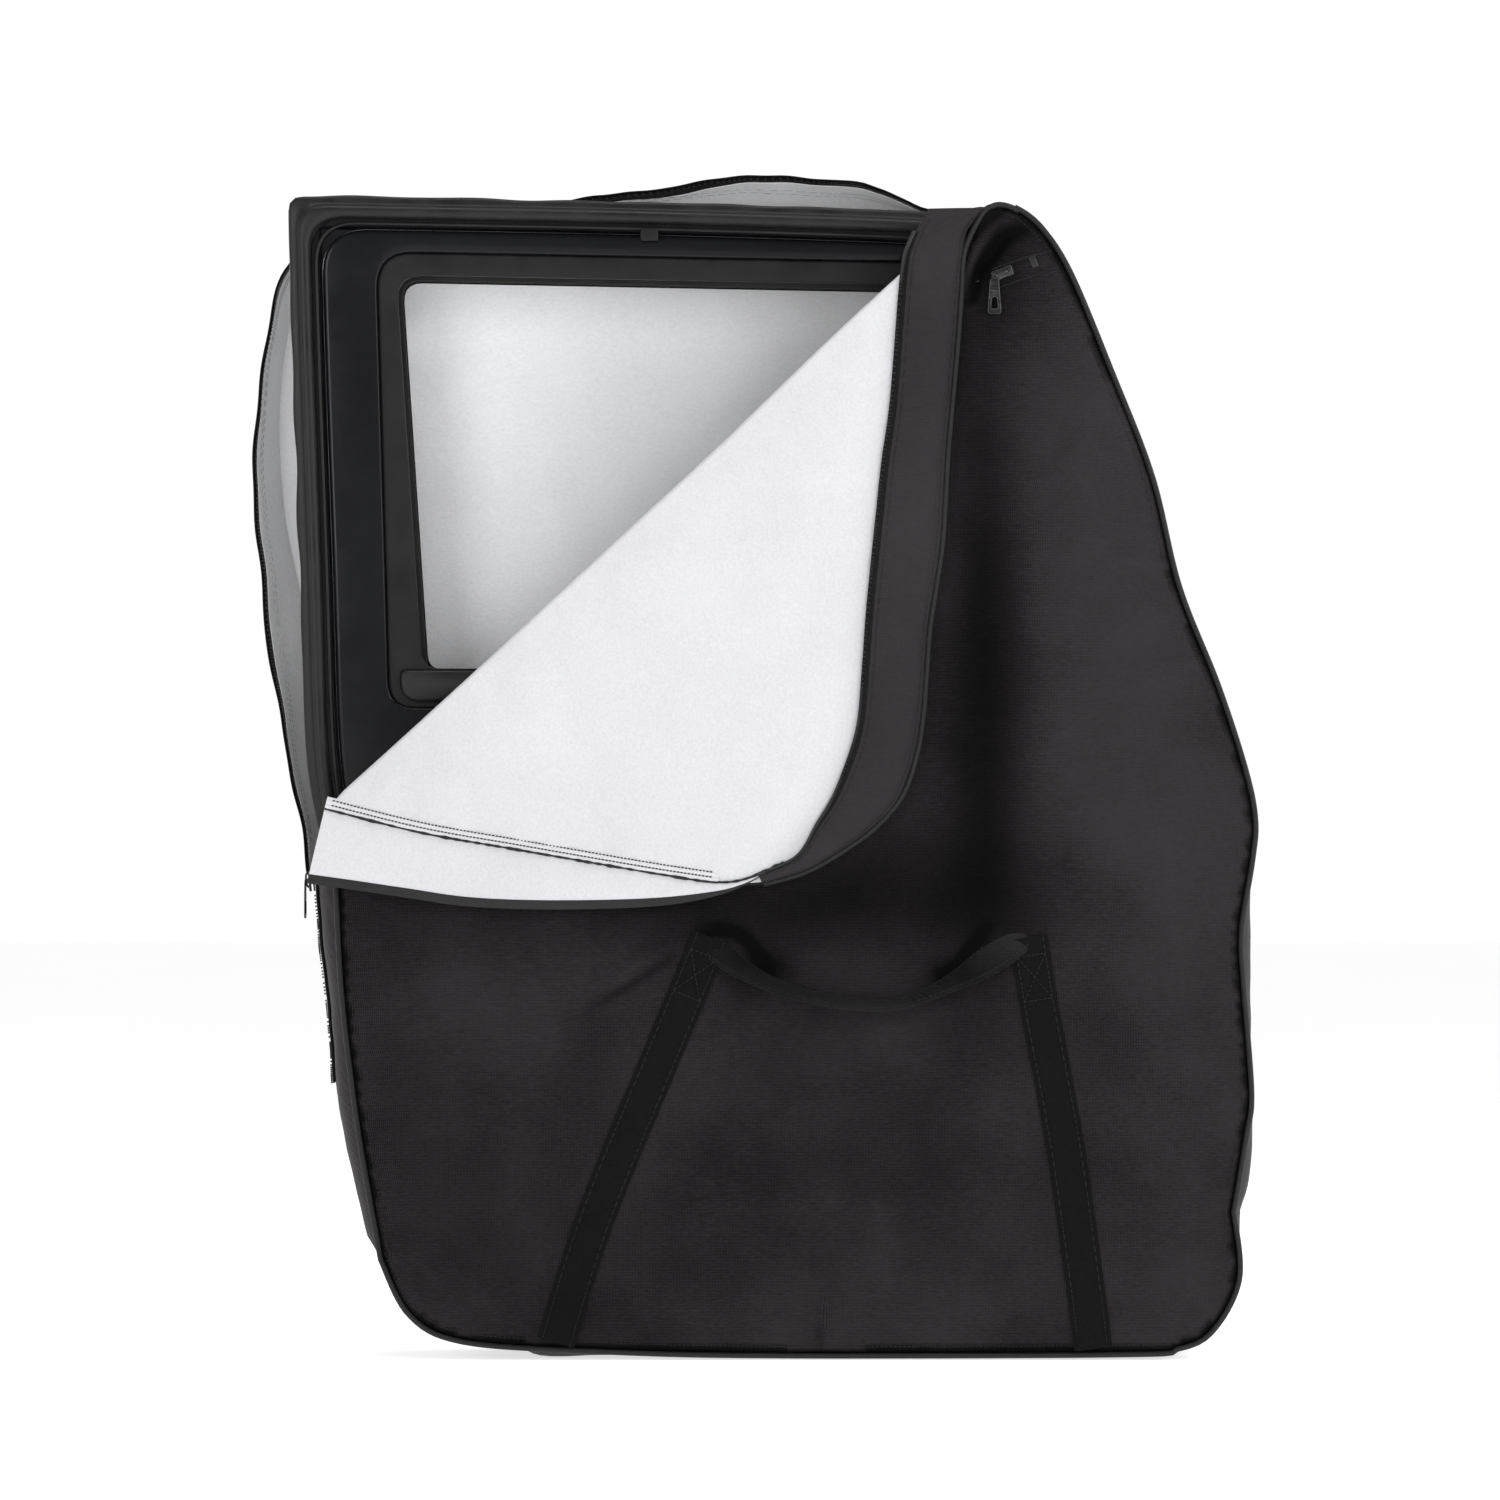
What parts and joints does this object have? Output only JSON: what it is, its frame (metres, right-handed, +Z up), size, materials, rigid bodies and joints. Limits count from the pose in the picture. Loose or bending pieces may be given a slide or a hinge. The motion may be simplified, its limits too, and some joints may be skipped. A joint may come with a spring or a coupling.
{
  "type": "vehicle door storage bag",
  "caption": "Padded zip-up storage bag with a removable vehicle door standing in it, one corner unzipped and folded down to show the white lining.",
  "frame": {"origin": "on the floor under the middle of the box round the whole object", "axes": "+Z up, +X along the bag's width towards the slanted side, -Y out of the front panel that the corner is folded over"},
  "size_m": [1.01, 0.2066, 1.19],
  "materials": {
    "cloth": "padded black woven polyester, matte",
    "lining": "white nonwoven with a fine embossed texture",
    "webbing": "black ribbed webbing",
    "piping": "black bound cord",
    "zip_tape": "black woven tape",
    "zip_coil": "black coil",
    "pull_metal": "black gloss enamel",
    "paint": "black gloss paint",
    "seal": "satin black rubber",
    "trim_plastic": "moulded black plastic",
    "steel": "zinc-plated steel",
    "glass": "lightly tinted glass"
  },
  "bodies": {
    "bag": {"front_panel_shell": "cloth", "back_panel_shell": "cloth", "left_gusset": "cloth", "bottom_gusset": "cloth", "right_gusset": "cloth", "back_gusset_top": "cloth", "back_gusset_side": "cloth", "front_panel_lining": "lining", "back_panel_lining": "lining", "front_strap_left": "webbing", "front_strap_right": "webbing", "rear_strap_left": "webbing", "rear_strap_right": "webbing", "front_piping": "piping", "back_piping": "piping", "zip_tape_back": "zip_tape", "zip_tape_closed": "zip_tape", "zip_tape_end": "zip_tape", "zip_chain_back": "zip_coil", "zip_chain_closed": "zip_coil", "zip_chain_end": "zip_coil", "zip_end_box": "zip_coil", "window_frame": "paint", "door_inner_panel": "paint", "door_outer_skin": "paint", "door_side_wall": "paint", "door_flange": "paint", "door_hinge_leaf_upper": "paint", "door_hinge_leaf_lower": "paint", "door_seal_lip": "seal", "door_seal_bulb": "seal", "door_seal_trim": "seal", "glass_run_channel": "seal", "belt_weatherstrip": "seal", "window_reveal": "trim_plastic", "door_trim_clip": "trim_plastic", "door_hinge_pin_upper": "steel", "door_hinge_pin_lower": "steel", "door_latch": "steel", "regulator_rail": "steel"},
    "flap": {"flap_shell": "cloth", "flap_lining": "lining", "flap_band": "cloth", "flap_piping_top": "piping", "flap_piping_side": "piping", "zip_tape_flap_top": "zip_tape", "zip_chain_flap_top": "zip_coil"},
    "flap_side": {"flap_strip": "lining", "zip_tape_flap_side": "zip_tape", "zip_chain_flap_side": "zip_coil"},
    "slider_left": {"zip_slider_left": "pull_metal"},
    "tab_left": {"pull_tab_left": "pull_metal"},
    "slider_right": {"zip_slider_right": "pull_metal"},
    "tab_right": {"pull_tab_right": "pull_metal"},
    "handle_front": {"front_handle": "webbing"},
    "handle_rear": {"rear_handle": "webbing"},
    "glass": {"window_glass": "glass", "glass_carrier": "steel"}
  },
  "joints": [
    {"name": "flap_fold", "type": "hinge", "parent": "bag", "child": "flap", "pos_m": [-0.434, -0.0718, 0.56], "axis": [-0.741, 0, -0.6715], "range_deg": [0, 178]},
    {"name": "flap_side_fold", "type": "hinge", "parent": "flap", "child": "flap_side", "pos_m": [-0.43, -0.0836, 0.553], "axis": [-0.9853, 0, 0.1706], "range_deg": [0, 45]},
    {"name": "left_slider_slide", "type": "slide", "parent": "bag", "child": "slider_left", "axis": [0.0893, 0, -0.996], "range_m": [0, 0.195]},
    {"name": "left_tab_swing", "type": "hinge", "parent": "slider_left", "child": "tab_left", "pos_m": [-0.4526, -0.006, 0.478], "axis": [0, 1, 0], "range_deg": [0, 150]},
    {"name": "right_slider_slide", "type": "slide", "parent": "bag", "child": "slider_right", "axis": [0.9311, 0, 0.3649], "range_m": [-0.025, 0.012]},
    {"name": "right_tab_swing", "type": "hinge", "parent": "slider_right", "child": "tab_right", "pos_m": [0.24, -0.076, 1.083], "axis": [-1, 0, 0], "range_deg": [0, 150]},
    {"name": "front_handle_swing", "type": "hinge", "parent": "bag", "child": "handle_front", "pos_m": [0.113, -0.068, 0.437], "axis": [-1, 0, 0], "range_deg": [0, 115]},
    {"name": "rear_handle_swing", "type": "hinge", "parent": "bag", "child": "handle_rear", "pos_m": [0.113, 0.068, 0.437], "axis": [1, 0, 0], "range_deg": [0, 150]},
    {"name": "window_slide", "type": "slide", "parent": "bag", "child": "glass", "axis": [-0.0662, 0, 0.9978], "range_m": [0, 0.405]}
  ],
  "couplings": [
    {"joint": "flap_side_fold", "follows": "flap_fold", "ratio": 0.25}
  ]
}
